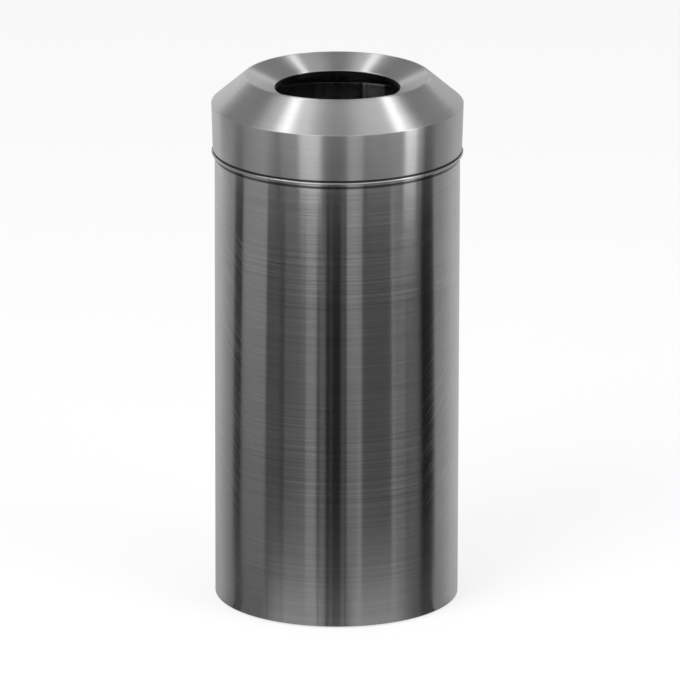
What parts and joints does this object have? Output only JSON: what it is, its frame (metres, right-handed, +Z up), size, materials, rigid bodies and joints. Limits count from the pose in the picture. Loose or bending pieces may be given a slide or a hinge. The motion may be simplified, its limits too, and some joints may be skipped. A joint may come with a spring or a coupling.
{
  "type": "waste bin",
  "caption": "Round brushed-metal waste bin with a lift-off conical lid, a funnel mouth, and a lift-out inner liner with drop handles.",
  "frame": {"origin": "on the floor under the middle of the bin", "axes": "+Z up along the bin's axis, -Y towards the front, +X to the right seen from the front"},
  "size_m": [0.308, 0.308, 0.66],
  "materials": {
    "stainless": "brushed",
    "galvanised": "dull, fine spangle",
    "galvanised_wire": "drawn wire, galvanised",
    "zinc_plate": "zinc plated",
    "rubber": "moulded, matte"
  },
  "bodies": {
    "bin_body": {"body_shell": "stainless", "base_plate": "stainless", "foot_front_left": "rubber", "foot_front_right": "rubber", "foot_back_left": "rubber", "foot_back_right": "rubber", "foot_screws": "zinc_plate", "foot_washers": "zinc_plate", "foot_nuts": "zinc_plate"},
    "liner": {"liner_wall": "galvanised", "liner_base": "galvanised", "liner_rim_wire": "galvanised_wire", "right_handle_clip": "galvanised", "left_handle_clip": "galvanised", "handle_rivets": "zinc_plate"},
    "lid": {"lid_cone": "stainless", "lid_skirt": "stainless", "lid_bead_wire": "galvanised_wire"},
    "handle_right": {"right_handle": "galvanised_wire"},
    "handle_left": {"left_handle": "galvanised_wire"}
  },
  "joints": [
    {"name": "liner_lift", "type": "slide", "parent": "bin_body", "child": "liner", "axis": [0, 0, 1], "range_m": [0, 0.64]},
    {"name": "lid_lift", "type": "slide", "parent": "liner", "child": "lid", "axis": [0, 0, 1], "range_m": [0, 0.2]},
    {"name": "right_handle_swing", "type": "hinge", "parent": "liner", "child": "handle_right", "pos_m": [0.131, 0, 0.59], "axis": [0, 1, 0], "range_deg": [0, 170]},
    {"name": "left_handle_swing", "type": "hinge", "parent": "liner", "child": "handle_left", "pos_m": [-0.131, 0, 0.59], "axis": [0, -1, 0], "range_deg": [0, 170]}
  ]
}
